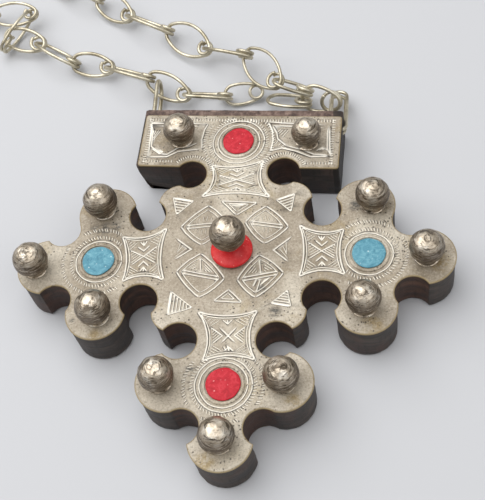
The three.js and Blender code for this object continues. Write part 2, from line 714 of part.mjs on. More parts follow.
// Links that follow one another, each held by the one before
function strand(prefix, first, steps, join) {
  const links = [];
  steps.forEach((step, i) => {
    const name = `${prefix}_${String(i + 1).padStart(2, '0')}`;
    links.push(join(name, i ? links[i - 1] : first, step));
  });
  return links;
}

const leftLinks = strand('link_left', loopLink, LEFT_LINKS, hangLink);
const rightLinks = strand('link_right', ringLink, RIGHT_LINKS, hangLink);
const underRingLink = hangLink('link_mid_03', ringLink, UNDER_RING_LINK);
const middleRoom = underRingLink.plain.x - loopLink.eye.x - MIDDLE_GAP;
const middleSteps = MIDDLE_LINKS.map((step) => ({ ...step, length: step.share * middleRoom }));
const middleLinks = strand('link_mid', loopLink, middleSteps, threadLink);

[loopLink, ...middleLinks, underRingLink, ringLink, ...leftLinks, ...rightLinks].forEach(linkMesh);

export default part;
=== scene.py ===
# Looks of the cross pendant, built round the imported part. The part's frame is in
# metres; the sizes below are in millimetres, as in the part's source.
import math
import random

import bpy
from mathutils import Matrix, Vector, noise
from mathutils.geometry import delaunay_2d_cdt


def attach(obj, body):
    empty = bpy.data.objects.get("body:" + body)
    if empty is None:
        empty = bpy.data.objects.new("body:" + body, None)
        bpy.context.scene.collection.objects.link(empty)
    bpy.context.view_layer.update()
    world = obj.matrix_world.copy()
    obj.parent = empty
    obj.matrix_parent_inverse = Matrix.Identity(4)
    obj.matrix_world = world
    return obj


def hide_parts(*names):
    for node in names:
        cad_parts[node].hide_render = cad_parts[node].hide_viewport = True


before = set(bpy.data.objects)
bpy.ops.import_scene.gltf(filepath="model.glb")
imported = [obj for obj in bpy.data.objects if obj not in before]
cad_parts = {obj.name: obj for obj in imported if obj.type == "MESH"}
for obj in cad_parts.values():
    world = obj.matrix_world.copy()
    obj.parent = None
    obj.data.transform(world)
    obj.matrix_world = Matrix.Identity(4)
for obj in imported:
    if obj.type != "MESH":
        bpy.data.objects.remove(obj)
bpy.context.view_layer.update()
MM = 0.001

# Sizes shared with the part
WOOD, SEAT, PLATE = 9.0, 0.12, 0.5
FRONT = WOOD + SEAT
TOP = FRONT + PLATE
OVERHANG, ARM_ROOT = 0.15, 17.5
# Bites and lobes: along the arm or across the cross, to its side, radius
INNER_BITE = (17.5, 9.7, 3.7)
SIDE_LOBE = (25.8, 11.1, 5.9)
OUTER_BITE = (34.5, 7.95, 3.5)
END_LOBE = (36.8, 0, 6.0)
UPPER_CORNER = (11.1, 12.9, 4.4)
LOWER_CORNER = (10.6, -11.4, 4.2)
ARMS = {
    "right": dict(heading=0, rise=0.8, droop=3.65, squeeze=0, ball=3.35,
                  shifts=((-0.4, -0.17), (0.4, -0.17), (1.5, 0.03))),
    "left": dict(heading=180, rise=0.6, droop=5.0, squeeze=0, ball=3.45,
                 shifts=((-0.8, 0.73), (-2.2, -0.41), (0.6, -0.97))),
    "bottom": dict(heading=-90, rise=0, droop=0, squeeze=0.5, ball=3.35,
                   shifts=((-1.2, 0), (-0.1, -0.5), (0.2, -0.2))),
}
BAR_HALF, BAR_HEIGHT, BAR_Y, BAR_SLANT = 20.6, 13.0, 27.85, -3.35
BAR_CORNER, BAR_BORDER, BAR_ENDS, BAR_ROUND = 0.6, 2.1, 0.5, 0.5
BAR_BITE = (9.5, 19.9, 3.3)
BAR_STUDS = [(-12.0, 0.95, 3.3), (14.2, -0.85, 3.05)]
COLLAR, CENTRE_COLLAR, COLLAR_HEIGHT, NECK, NECK_HEIGHT = 2.5, 2.0, 0.25, 1.25, 0.35
DISC_ALONG, BAR_DISC_Y = 26.4, BAR_Y - 0.25
BOSS, BOSS_HEIGHT, CENTRE_BALL = (0.1, 1.4), 2.9, 3.5
WIRE, EYE, EYE_SLIP, PLAIN_END, BOW, LAYER_GAP = 0.38, 1.42, 0.1, 2.1, 10.0, 0.16
FIRST_WRAP, SECOND_WRAP = 280, 215
MIDDLE_GAP, MIDDLE_SHARE = 2.65, 0.568
LOOP_WIRE, LOOP_IN, LOOP_LOW, LOOP_WIDTH, LOOP_REACH, LEG = 0.45, 1.3, 0.95, 4.6, 11.6, 4.0
RING_TURNS, RING_PITCH, RING_HALF, RING_LENGTH, RING_TILT = 2, 1.15, 1.65, 14.4, 20
RING_IN, RING_BELOW, RING_AT_TOP, RING_EYE_SHARE = 0.35, 4.4, 5.3, 0.4

# Sizes of the looks alone: the plate's right end on the bar, the chain's wire, and finer curves
PLATE_REACH, ARC_STEP = 0.35, 0.45
VISIBLE_WIRE = 0.41
TIGHT = {"link_left_05": 0.38, "link_left_06": 0.38, "link_mid_02": 0.36, "link_right_02": 0.36}
RAD = math.pi / 180
SLANT_COS, SLANT_SIN, SLANT_TAN = (f(BAR_SLANT * RAD) for f in (math.cos, math.sin, math.tan))


# Outline of the cross, as the part makes it but with finer arcs. Circles are (centre, radius, convex)

def turn(p, degrees):
    c, s = math.cos(degrees * RAD), math.sin(degrees * RAD)
    return (p[0] * c - p[1] * s, p[0] * s + p[1] * c)


def around(centre, radius, degrees):
    return (centre[0] + radius * math.cos(degrees * RAD), centre[1] + radius * math.sin(degrees * RAD))


def between(a, b, share):
    return (a[0] + (b[0] - a[0]) * share, a[1] + (b[1] - a[1]) * share)


def on_bar(x, y):
    x, y = turn((x, y), BAR_SLANT)
    return (x, y + BAR_Y)


def arm_point(arm, along, aside):
    x, y = turn((along, aside), arm["heading"])
    return (x, y + arm["rise"] - (along - ARM_ROOT) * math.tan(arm["droop"] * RAD))


def disc_place(name):
    return arm_point(ARMS[name], DISC_ALONG, 0) if name in ARMS else (0, BAR_DISC_Y)


def arm_circles(name, grow):
    arm = ARMS[name]
    half = (INNER_BITE, SIDE_LOBE, OUTER_BITE)
    circles = []
    for spot, side in zip((*half, END_LOBE, *half[::-1]), (-1, -1, -1, 0, 1, 1, 1)):
        along, aside, radius = spot
        convex = spot in (SIDE_LOBE, END_LOBE)
        shift = side * (aside - (arm["squeeze"] if aside else 0))
        circles.append((arm_point(arm, along, shift), radius + (grow if convex else -grow), convex))
    return circles


def meet(a, b):
    (ax, ay), ra, _ = a
    (bx, by), rb, _ = b
    dx, dy = bx - ax, by - ay
    gap = math.hypot(dx, dy)
    touching = gap >= ra + rb
    along = gap * ra / (ra + rb) if touching else (gap * gap + ra * ra - rb * rb) / (2 * gap)
    aside = 0 if touching else math.sqrt(max(0, ra * ra - along * along))
    return (ax + (dx * along + dy * aside) / gap, ay + (dy * along - dx * aside) / gap)


def meet_edge(bite, side, edge_y):
    (x, y), r, _ = bite
    foot = edge_y + SLANT_TAN * x - y
    reach = math.sqrt(max(0.01, r * r - (foot * SLANT_COS) ** 2))
    return (x + side * reach, edge_y + SLANT_TAN * (x + side * reach))


def arc(circle, start, end):
    (x, y), r, convex = circle
    a = math.atan2(start[1] - y, start[0] - x)
    b = math.atan2(end[1] - y, end[0] - x)
    if convex and b < a:
        b += 2 * math.pi
    if not convex and b > a:
        b -= 2 * math.pi
    steps = max(3, int(abs(b - a) * r / ARC_STEP))
    return [(x + r * math.cos(a + (b - a) * i / steps), y + r * math.sin(a + (b - a) * i / steps))
            for i in range(steps)]


def bar_corners(border, ends):
    half = BAR_HALF + ends
    right_half = half if ends else half + PLATE_REACH
    low, high = -BAR_HEIGHT / 2, BAR_HEIGHT / 2 + border
    r = BAR_CORNER
    points = []
    for i, (x, y) in enumerate([(right_half, low), (right_half, high), (-half, high), (-half, low)]):
        cx, cy = x - math.copysign(r, x), y - math.copysign(r, y)
        for angle in (0, 30, 60, 90):
            dx, dy = turn((r, 0), -90 + 90 * i + angle)
            points.append(on_bar(cx + dx, cy + dy))
    filled = []
    for p, q in zip(points, points[1:]):
        count = int(math.dist(p, q) / (3 * ARC_STEP))
        filled += [p, *(between(p, q, k / count) for k in range(1, count))]
    return [*filled, points[-1]]


def cross_outline(grow, border, ends):
    edge_y = BAR_Y - (BAR_HEIGHT / 2) / SLANT_COS
    bite = lambda side: ((side * BAR_BITE[0], BAR_BITE[1]), BAR_BITE[2] - grow, False)
    lobe = lambda spot, side: ((side * spot[0], spot[1]), spot[2] + grow, True)
    run = [bite(-1), lobe(UPPER_CORNER, -1), *arm_circles("left", grow), lobe(LOWER_CORNER, -1),
           *arm_circles("bottom", grow), lobe(LOWER_CORNER, 1), *arm_circles("right", grow),
           lobe(UPPER_CORNER, 1), bite(1)]
    meets = [meet(a, b) for a, b in zip(run, run[1:])]
    starts = [meet_edge(run[0], -1, edge_y), *meets]
    stops = [*meets, meet_edge(run[-1], 1, edge_y)]
    points = []
    for circle, start, stop in zip(run, starts, stops):
        points += arc(circle, start, stop)
    return [*points, stops[-1], *bar_corners(border, ends)]


def around_loop(points):
    """Each point of a closed line, between the one before and the one after it."""
    return zip([points[-1], *points], points, [*points[1:], points[0]])


def outward_normals(points):
    normals = []
    for (ax, ay), _, (bx, by) in around_loop(points):
        length = math.hypot(bx - ax, by - ay) or 1
        normals.append(((by - ay) / length, (ax - bx) / length))
    return normals


def inset(points, amount):
    return [(x - nx * amount, y - ny * amount)
            for (x, y), (nx, ny) in zip(points, outward_normals(points))]


# Pieces

def add_object(name, data):
    made = bpy.data.objects.new(name, data)
    bpy.context.scene.collection.objects.link(made)
    return made


def make_piece(name, shape, look, nodes, body="cross", smooth=True):
    mesh = bpy.data.meshes.new(name)
    vertices, faces = shape
    mesh.from_pydata([Vector(v) * MM for v in vertices], [], faces)
    mesh.validate()
    mesh.update()
    mesh.polygons.foreach_set("use_smooth", [smooth] * len(mesh.polygons))
    mesh.materials.append(look)
    piece = add_object(name, mesh)
    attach(piece, body)
    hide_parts(*nodes)
    return piece


def strip(rows, sides):
    """Faces of a tube of rows, each row with its points on so many sides, and its two caps."""
    faces = []
    for i in range(rows - 1):
        for k in range(sides):
            m = (k + 1) % sides
            faces.append((i * sides + k, i * sides + m, (i + 1) * sides + m, (i + 1) * sides + k))
    last = (rows - 1) * sides
    return [*faces, tuple(reversed(range(sides))), tuple(range(last, last + sides))]


def mark(piece, name, values):
    """Gives each vertex a number from 0 to 1 for the piece's material."""
    layer = piece.data.attributes.new(name, "FLOAT", "POINT")
    layer.data.foreach_set("value", [min(1.0, max(0.0, v)) for v in values])


def tube(points, radius, sides, side_axis):
    vertices = []
    for before, p, after in zip([points[0], *points], points, [*points[1:], points[-1]]):
        along = (after - before).normalized()
        across = (side_axis - along * side_axis.dot(along)).normalized()
        other = along.cross(across)
        for k in range(sides):
            angle = 2 * math.pi * k / sides
            vertices.append(p + across * (radius * math.cos(angle)) + other * (radius * math.sin(angle)))
    return vertices, strip(len(points), sides)


def lathe(profile, steps, centre, foot=0):
    """Surface of revolution about +Z, its heights counted from foot; a radius of 0 closes it."""
    vertices, rings = [], []
    for r, z in profile:
        count = steps if r > 0 else 1
        rings.append(range(len(vertices), len(vertices) + count))
        for k in range(count):
            angle = 2 * math.pi * k / steps
            vertices.append((centre[0] + r * math.cos(angle), centre[1] + r * math.sin(angle), foot + z))
    faces = []
    for a, b in zip(rings, rings[1:]):
        for k in range(steps):
            m = (k + 1) % steps
            corners = dict.fromkeys((a[k % len(a)], a[m % len(a)], b[m % len(b)], b[k % len(b)]))
            if len(corners) > 2:
                faces.append(tuple(corners))
    return vertices, faces


# Materials

def srgb(r, g, b):
    return tuple(((c / 255 + 0.055) / 1.055) ** 2.4 if c > 10 else c / 255 / 12.92
                 for c in (r, g, b)) + (1.0,)


class Maker:
    """Short calls for the nodes of one material, or of the world."""

    def __init__(self, owner):
        self.owner = owner
        owner.use_nodes = True
        self.tree = owner.node_tree
        self.coordinates = self.node("TexCoord").outputs
        self.place = self.coordinates["Object"]

    def feed(self, node, inputs):
        """Links another node's output to an input, or sets a number or colour on it."""
        for key, value in inputs.items():
            if hasattr(value, "is_linked"):
                self.tree.links.new(value, node.inputs[key])
            else:
                node.inputs[key].default_value = value
        return node

    def node(self, kind, inputs=None, **settings):
        made = self.tree.nodes.new("ShaderNode" + kind)
        for key, value in settings.items():
            setattr(made, key, value)
        return self.feed(made, inputs or {})

    def noise(self, scale, detail=4.0, rough=0.6, stretch=None, distortion=0.0):
        place = self.place
        if stretch:
            place = self.node("Mapping", {"Vector": place, "Scale": stretch}).outputs["Vector"]
        return self.node("TexNoise", {
            "Vector": place, "Scale": scale, "Detail": detail, "Roughness": rough,
            "Distortion": distortion}).outputs["Fac"]

    def cells(self, scale, feature="F1"):
        return self.node("TexVoronoi", {"Vector": self.place, "Scale": scale},
                         feature=feature).outputs["Distance"]

    def axis(self, name, place=None):
        return self.node("SeparateXYZ", {0: place or self.place}).outputs[name]

    def attribute(self, name):
        return self.node("Attribute", attribute_name=name).outputs["Fac"]

    def maths(self, operation, a, b):
        return self.node("Math", {0: a, 1: b}, operation=operation).outputs[0]

    def times(self, a, b):
        return self.maths("MULTIPLY", a, b)

    def ramp(self, source, *stops):
        """Stops are a place and a grey, or a place and a linear colour."""
        made = self.node("ValToRGB", {"Fac": source})
        ramp = made.color_ramp
        while len(ramp.elements) < len(stops):
            ramp.elements.new(0.5)
        for element, (at, colour) in zip(ramp.elements, stops):
            element.position = at
            element.color = colour if hasattr(colour, "__len__") else (colour, colour, colour, 1)
        return made.outputs["Color"]

    def tones(self, source, *stops):
        """Stops are a place and the red, green and blue of a colour, 0 to 255."""
        return self.ramp(source, *((at, srgb(*colour)) for at, *colour in stops))

    def mix(self, factor, a, b):
        return self.node("Mix", {0: factor, 6: a, 7: b}, data_type="RGBA").outputs[2]

    def coat(self, base, colour, source, start, full, share, mask=None):
        """Base with a colour over it: none where the source is at start, that share where it is full."""
        amount = self.ramp(source, *sorted([(start, 0.0), (full, share)]))
        if mask:
            amount = self.times(mask, amount)
        return self.mix(amount, base, srgb(*colour))

    def spots(self, places):
        """1 near each place on the plate, 0 from its reach on."""
        total = 0.0
        for x, y, reach in places:
            spot = (x * MM, y * MM, TOP * MM)
            gap = self.node("VectorMath", {0: self.place, 1: spot}, operation="DISTANCE")
            share = self.maths("DIVIDE", gap.outputs["Value"], reach * MM)
            total = self.maths("MAXIMUM", total, self.ramp(share, (0.35, 1.0), (1.0, 0.0)))
        return total

    def bump(self, height, distance, strength, after=None):
        inputs = {"Height": height, "Distance": distance, "Strength": strength}
        if after:
            inputs["Normal"] = after
        return self.node("Bump", inputs).outputs["Normal"]

    def finish(self, colour, roughness, metallic, normal=None, specular=0.5):
        inputs = {"Base Color": colour, "Roughness": roughness, "Metallic": metallic,
                  "Specular IOR Level": specular}
        if normal:
            inputs["Normal"] = normal
        self.feed(self.tree.nodes["Principled BSDF"], inputs)
        return self.owner


def material(name):
    return Maker(bpy.data.materials.new(name))


# Places on the plate: x, y and reach
DARK_SMEARS = [(-27.8, 6.8, 1.7), (-25.8, 7.2, 1.8), (-23.8, 7.6, 1.6), (-6.3, -23.7, 1.6), (23.8, 11.2, 1.7),
               (-30.0, -13.2, 0.9), (8.9, -11.9, 1.6), (-10.9, -9.0, 1.3), (6.1, -7.0, 1.3)]
YELLOW_STAINS = [(27.0, -14.5, 2.8), (-2.3, -40.9, 2.6), (39.6, -2.0, 2.6), (-25.0, -16.5, 2.0),
                 (12.5, -29.5, 2.2)]


def plate_material():
    m = material("engraved_silver")
    fine = m.noise(2300, 5, 0.8)
    base = m.tones(m.noise(150, 5, 0.65), (0.3, 142, 130, 111), (0.5, 168, 156, 138), (0.72, 190, 180, 162))
    worn = m.noise(70, 4, 0.6)
    base = m.coat(base, (214, 205, 188), worn, 0.5, 0.68, 0.75)
    stained = m.noise(95, 5, 0.7, distortion=0.8)
    base = m.coat(base, (158, 138, 96), stained, 0.54, 0.68, 0.55)
    # Painted light: the plate is lighter towards the bottom of the cross
    painted_light_low = m.times(m.axis("Y"), -20)
    base = m.coat(base, (216, 207, 190), painted_light_low, 0.1, 0.8, 0.45)
    patches = m.noise(420, 4, 0.7)
    stains = m.times(m.spots(YELLOW_STAINS), m.ramp(patches, (0.44, 0.1), (0.56, 0.75)))
    base = m.mix(stains, base, srgb(158, 134, 84))
    scuffs = m.noise(800, 4, 0.8, stretch=(0.6, 1.8, 1))
    base = m.coat(base, (62, 64, 62), scuffs, 0.44, 0.54, 0.85, m.spots(DARK_SMEARS))
    base = m.coat(base, (98, 86, 70), fine, 0.49, 0.64, 0.5)
    base = m.coat(base, (222, 213, 197), fine, 0.43, 0.35, 0.5)
    pits = m.ramp(m.cells(1250), (0.15, 1.0), (0.28, 0.0))
    base = m.coat(base, (50, 42, 34), m.noise(110, 4), 0.46, 0.56, 0.9, pits)
    # The band beside each cut is painted shade, and the dark round the studs' feet is dirt with painted shade
    for name, colour in (("edge", (158, 138, 98)), ("painted_shade", (44, 36, 27)), ("cut", (252, 247, 236)),
                         ("dirt_and_shade", (54, 46, 38))):
        base = m.mix(m.attribute(name), base, srgb(*colour))
    rough = m.ramp(m.noise(500, 3), (0.3, 0.46), (0.7, 0.62))
    normal = m.bump(m.noise(240, 3), 0.0003, 0.6, m.bump(fine, 0.0001, 0.7))
    return m.finish(base, rough, 0.2, normal)


def ball_material():
    m = material("hammered_silver")
    cloud = m.noise(420, 5, 0.7, distortion=0.6)
    base = m.tones(cloud, (0.3, 150, 136, 118), (0.5, 206, 192, 172), (0.66, 248, 241, 228))
    marks = m.noise(1050, 4, 0.75, stretch=(0.45, 0.45, 2.2), distortion=0.6)
    base = m.coat(base, (70, 60, 48), marks, 0.5, 0.6, 0.85)
    # Painted shade: darker round the ball's sides, as the low mark gives
    base = m.mix(m.times(m.attribute("low"), 0.84), base, srgb(96, 82, 67))
    scratches = m.noise(1500, 3, 0.7, stretch=(0.35, 0.35, 2.8), distortion=0.4)
    base = m.coat(base, (218, 208, 190), scratches, 0.43, 0.36, 0.75)
    base = m.coat(base, (62, 53, 43), scratches, 0.56, 0.64, 0.7)
    rough = m.ramp(marks, (0.35, 0.3), (0.7, 0.5))
    normal = m.bump(marks, 0.00018, 0.85, m.bump(m.cells(520, "SMOOTH_F1"), 0.0002, 0.6))
    return m.finish(base, rough, 0.85, normal)


def wire_material():
    m = material("silver_wire")
    cloud, fine = m.noise(220, 4, 0.6), m.noise(2600, 3)
    base = m.tones(cloud, (0.3, 158, 148, 124), (0.55, 212, 204, 182), (0.75, 236, 230, 212))
    base = m.coat(base, (130, 116, 92), fine, 0.55, 0.75, 0.5)
    return m.finish(base, m.ramp(fine, (0.3, 0.28), (0.7, 0.44)), 0.85, m.bump(fine, 0.00005, 0.6))


def wood_material():
    m = material("dark_wood")
    grain = m.noise(260, 5, 0.62, stretch=(0.35, 1.0, 2.2), distortion=0.6)
    outer = m.tones(grain, (0.3, 34, 29, 27), (0.5, 58, 51, 47), (0.7, 90, 80, 73))
    # Painted light: the walls in the bites are lighter and redder
    bite_light = m.tones(grain, (0.3, 38, 27, 23), (0.5, 70, 51, 43), (0.7, 108, 80, 66))
    base = m.mix(m.attribute("bite"), outer, bite_light)
    base = m.coat(base, (92, 60, 48), m.noise(120, 3), 0.5, 0.72, 0.5)
    saw = m.noise(1400, 3, 0.6, stretch=(1, 1, 0.18))
    base = m.coat(base, (26, 20, 18), saw, 0.55, 0.72, 0.5)
    # The strip above the plate on the bar is rubbed paler, with painted light where it faces up, and the
    # bar's right end gets painted shade
    up = m.maths("SUBTRACT", m.times(m.axis("Y"), SLANT_COS), m.times(m.axis("X"), SLANT_SIN))
    above = m.maths("GREATER_THAN", up, (BAR_Y * SLANT_COS + BAR_HEIGHT / 2 - 0.1) * MM)
    front = m.maths("GREATER_THAN", m.axis("Z"), (WOOD - 0.22) * MM)
    rubbed_and_lit = m.tones(m.noise(700, 5, 0.7), (0.34, 54, 40, 36), (0.5, 98, 78, 70), (0.66, 142, 120, 108))
    base = m.mix(m.times(above, front), base, rubbed_and_lit)
    # Painted shade on the wall at the bar's right end
    end = m.maths("GREATER_THAN", m.axis("X"), (BAR_HALF - 1.2) * MM)
    bar = m.maths("GREATER_THAN", m.axis("Y"), (BAR_Y - BAR_HEIGHT / 2 - 2) * MM)
    base = m.mix(m.times(end, m.times(bar, 0.8)), base, srgb(24, 19, 17))
    normal = m.bump(saw, 0.00012, 0.7, m.bump(grain, 0.0003, 0.5))
    return m.finish(base, m.ramp(grain, (0.3, 0.5), (0.7, 0.75)), 0.0, normal)


def glass_material(name, dark, main, light, chip, rough):
    m = material(name)
    cloud = m.noise(800, 5, 0.75, distortion=0.8)
    base = m.tones(cloud, (0.28, *dark), (0.5, *main), (0.74, *light))
    chips = m.ramp(m.cells(1300), (0.12, 1.0), (0.24, 0.0))
    base = m.coat(base, chip, m.noise(900, 2), 0.54, 0.6, 0.85, chips)
    return m.finish(base, rough, 0.0, m.bump(cloud, 0.00012, 0.5), 0.25)


SILVER_PLATE = plate_material()
SILVER_BALL = ball_material()
SILVER_WIRE = wire_material()
WOOD_LOOK = wood_material()
RED = glass_material("red_glass", (158, 22, 36), (192, 34, 48), (214, 66, 78), (236, 160, 160), 0.5)
BLUE = glass_material("blue_glass", (56, 112, 132), (96, 153, 171), (136, 188, 198), (206, 226, 226), 0.5)
RED_BOSS = glass_material("red_boss", (198, 38, 42), (214, 50, 52), (226, 82, 78), (236, 140, 130), 0.2)


# Engraving: centre lines of the graver's cuts. Points and lengths are in units of D, widths in millimetres

random.seed(6123)
cuts = []
D = 26.5  # from the middle of the cross to a disc
STROKE, GROOVE = 1.45, 0.17  # how much wider than given the cuts are, and how deep
TAPER, TAPER_SHARE = 0.35, 0.22  # a cut's ends taper over this length, or this share of a short one
SHADE_BAND, SHADE = 0.8, (0.45, -0.9)  # painted shade band beside a cut, as a share of its half width, and the side it lies on
BOLD, LINE, THIN, FINE, HATCH = 0.34, 0.28, 0.24, 0.22, 0.19
STEADY, FREE = 0.03, 0.06  # how far the graver's hand strays at each point, in millimetres
TICK_PITCH, TICK_LEAN, TICK_BORDER = 0.0225, 0.05 / RAD, 0.75


def cut(points, width, shake=STEADY):
    line = [(x * D + random.uniform(-shake, shake), y * D + random.uniform(-shake, shake)) for x, y in points]
    if all(math.dist(a, b) > 0.05 for a, b in zip(line, line[1:])):
        cuts.append((line, width * STROKE / 2))


def off(p, dx, dy):
    return (p[0] + dx, p[1] + dy)


def bowed(a, b, sag):
    """From a to b, pushed to its left by sag at the middle."""
    steps = 7
    dx, dy = b[0] - a[0], b[1] - a[1]
    length = math.hypot(dx, dy)
    points = []
    for i in range(steps + 1):
        t = i / steps
        push = sag * 4 * t * (1 - t) / length
        points.append((a[0] + dx * t - dy * push, a[1] + dy * t + dx * push))
    return points


def polygon_inset(corners, amount):
    """Corners moved in by amount from each side; corners run clockwise."""
    moved = []
    for p, q, r in around_loop(corners):
        u = Vector((q[0] - p[0], q[1] - p[1])).normalized()
        v = Vector((r[0] - q[0], r[1] - q[1])).normalized()
        inner = (v - u).normalized()
        inner *= amount / max(0.35, abs(inner.cross(v)))
        moved.append((q[0] + inner.x, q[1] + inner.y))
    return moved


def hatched(corners, count, width=0.26):
    """Fills a triangle with strokes parallel to its first side."""
    a, b, c = corners
    for k in range(count):
        t = (k + 0.35) / count
        p, q = between(a, c, t), between(b, c, t)
        if math.dist(p, q) > 0.012:
            cut([p, q], width)


def outlined(corners, sag, width):
    for _, p, q in around_loop(corners):
        cut(bowed(p, q, sag), width)


def leaf(left, top, right, bottom, motif):
    corners = [left, top, right, bottom]
    outlined(corners, 0.014, 0.32)
    inner = polygon_inset(corners, 0.026)
    outlined(inner, 0.01, FINE)
    l, t, r, b = inner
    mid = ((l[0] + r[0]) / 2, (l[1] + r[1]) / 2)
    for gap in (0.013, -0.013):
        cut([off(l, 0.008, gap), off(mid, 0, gap), off(r, -0.008, gap)], LINE, FREE)
    if motif == "plain":
        for k in range(1, 9):
            share = k / 9
            x, y = between(l, r, share)
            rise = 0.72 * (1 - abs(2 * share - 1))
            up, down = rise * (t[1] - mid[1]), rise * (mid[1] - b[1])
            if rise > 0.2:
                cut([(x, y + 0.03), (x + 0.006, y + up)], 0.17, FREE)
                cut([(x, y - 0.03), (x - 0.004, y - down)], 0.15, FREE)
        return
    cut([t, off(mid, 0.004, 0.02)], LINE, FREE)
    hatched([off(t, -0.02, -0.03), off(l, 0.03, 0.03), off(mid, -0.02, 0.03)], 3, 0.2)
    hatched([off(t, 0.02, -0.03), off(r, -0.03, 0.03), off(mid, 0.03, 0.03)], 3, 0.2)
    if motif == "full":
        cut([off(mid, 0.004, -0.02), b], LINE, FREE)
        cut([off(mid, -0.024, -0.02), off(b, -0.024, 0.04)], 0.36, FREE)
        hatched([off(b, 0.02, 0.05), off(r, -0.05, -0.03), off(mid, 0.03, -0.03)], 4, FINE)


leaf((-0.395, 0.275), (-0.197, 0.458), (-0.046, 0.295), (-0.229, 0.117), "plain")
leaf((0.089, 0.303), (0.24, 0.438), (0.41, 0.256), (0.236, 0.117), "plain")
leaf((-0.399, -0.106), (-0.229, 0.041), (-0.042, -0.169), (-0.217, -0.32), "half")
leaf((0.053, -0.181), (0.204, 0.021), (0.386, -0.133), (0.192, -0.328), "full")

for corners in (
        [(-0.102, 0.498), (0.168, 0.474), (0.017, 0.367)],
        [(-0.006, -0.26), (0.097, -0.367), (-0.11, -0.352)]):
    outlined(corners, 0.0, 0.3)
    outlined(polygon_inset(corners, 0.022), 0.0, FINE)
hatched([(-0.05, 0.475), (0.1, 0.468), (0.02, 0.42)], 4)
for base, tip, foot in (((-0.435, 0.184), (-0.304, 0.081), (-0.431, -0.01)),
                        ((0.45, 0.18), (0.307, 0.057), (0.426, -0.05))):
    cut([base, tip, foot], BOLD)
    for share in (0.25, 0.45, 0.65):
        low, high = between(tip, foot, 1 - share * 0.3), between(tip, base, share)
        cut([off(low, 0, 0.09 * share), off(high, 0, -0.012)], 0.18, FREE)

for corners, count in (
        ([(-0.479, 0.541), (-0.316, 0.505), (-0.439, 0.386)], 6),
        ([(0.311, 0.494), (0.45, 0.545), (0.426, 0.386)], 6),
        ([(-0.427, -0.268), (-0.439, -0.459), (-0.26, -0.403)], 7),
        ([(0.303, -0.379), (0.446, -0.407), (0.418, -0.276)], 6)):
    outlined(corners, 0.0, THIN)
    hatched(corners, count)


SQUEEZE = 5  # how far a panel's sides draw in its motif


def panel(corners, sag, motif):
    """Neck panel: two curved border lines, and a motif in its own u, v from -1 to 1."""
    inner, core = polygon_inset(corners, 0.021), polygon_inset(corners, 0.037)
    for i in range(4):
        for line, width in ((corners, BOLD), (inner, 0.2)):
            cut(bowed(line[i], line[(i + 1) % 4], -sag[i % 2]), width)

    def at(u, v):
        s, t = (u + 1) / 2, (1 - v) / 2
        x, y = between(between(core[0], core[1], s), between(core[3], core[2], s), t)
        mx, my = (sum(axis) / 4 for axis in zip(*core))
        squeeze_x = 1 - SQUEEZE * sag[1] * (1 - v * v)
        squeeze_y = 1 - SQUEEZE * sag[0] * (1 - u * u)
        return (mx + (x - mx) * squeeze_x, my + (y - my) * squeeze_y)

    def run(width, *spots):
        cut([at(*s) for s in spots], width)

    tip = 0.34 if motif == "cross" else 0.0
    for su in (-1, 1):
        for sv in (-1, 1):
            for share in (0.25, 0.5, 0.75, 1.0):
                run(HATCH, (su * (1 - 0.74 * share), sv), (su, sv * (1 - 0.56 * share)))
        run(LINE, (su * 0.95, 0.44), (su * tip, 0), (su * 0.95, -0.44))
        for k in range(1, 6):
            share = k / 6
            run(HATCH, (su * 0.95, 0.88 * share - 0.44), (su * (tip + (0.95 - tip) * share), 0.44 * share))
    for sv in (-1, 1):
        run(0.26, (-0.22, sv * 0.98), (0.0, sv * 0.7), (0.22, sv * 0.98))
        run(0.3, (0.0, sv * 0.98), (0.0, sv * 0.76))
        if motif == "chevron":
            run(0.32, (-0.42, sv * 0.66), (0.0, sv * 0.34), (0.42, sv * 0.66))
    if motif == "cross":
        run(BOLD, (-0.52, 0.58), (0.5, -0.55))
        run(BOLD, (-0.5, -0.55), (0.55, 0.6))
        run(0.26, (-0.3, -0.62), (-0.12, -0.95))
        run(0.26, (-0.1, -0.58), (0.04, -0.95))


panel([(-0.2, 0.83), (0.205, 0.86), (0.267, 0.517), (-0.262, 0.54)], (0.038, 0.05), "chevron")
panel([(0.49, 0.267), (0.819, 0.224), (0.826, -0.157), (0.498, -0.169)], (0.045, 0.035), "chevron")
panel([(-0.217, -0.436), (0.212, -0.431), (0.21, -0.815), (-0.158, -0.818)], (0.038, 0.05), "cross")
panel([(-0.84, 0.205), (-0.502, 0.271), (-0.49, -0.174), (-0.8, -0.181)], (0.045, 0.035), "chevron")


def ring_ticks(centre, radius, length, start, stop):
    count = int((stop - start) * RAD * radius / TICK_PITCH)
    for i in range(count + 1):
        angle = start + (stop - start) * i / count + random.uniform(-0.8, 0.8)
        cut([around(centre, radius - length / 2, angle),
             around(centre, radius + length / 2, angle + TICK_LEAN)], FINE)


# Rings round each disc: its name, the way to its panel, its ring lines and its rows of ticks
for name, toward, lines, rows in (
        ("bar", -90, (0.164, 0.201), ((0.226, 0.034, 40, 320), (0.272, 0.034, 40, 128),
                                      (0.272, 0.034, 232, 320))),
        ("right", 180, (0.173,), ((0.207, 0.034, 40, 320), (0.272, 0.034, 56, 304))),
        ("left", 0, (0.173,), ((0.207, 0.034, 40, 320), (0.272, 0.034, 56, 304))),
        ("bottom", 90, (0.168, 0.199), ((0.224, 0.032, 34, 326), (0.279, 0.032, 52, 308)))):
    x, y = disc_place(name)
    centre = (x / D, y / D)
    for radius in lines:
        cut([around(centre, radius, 9 * i) for i in range(41)], LINE, 0.04)
    for radius, length, start, stop in rows:
        ring_ticks(centre, radius, length, toward + start, toward + stop)


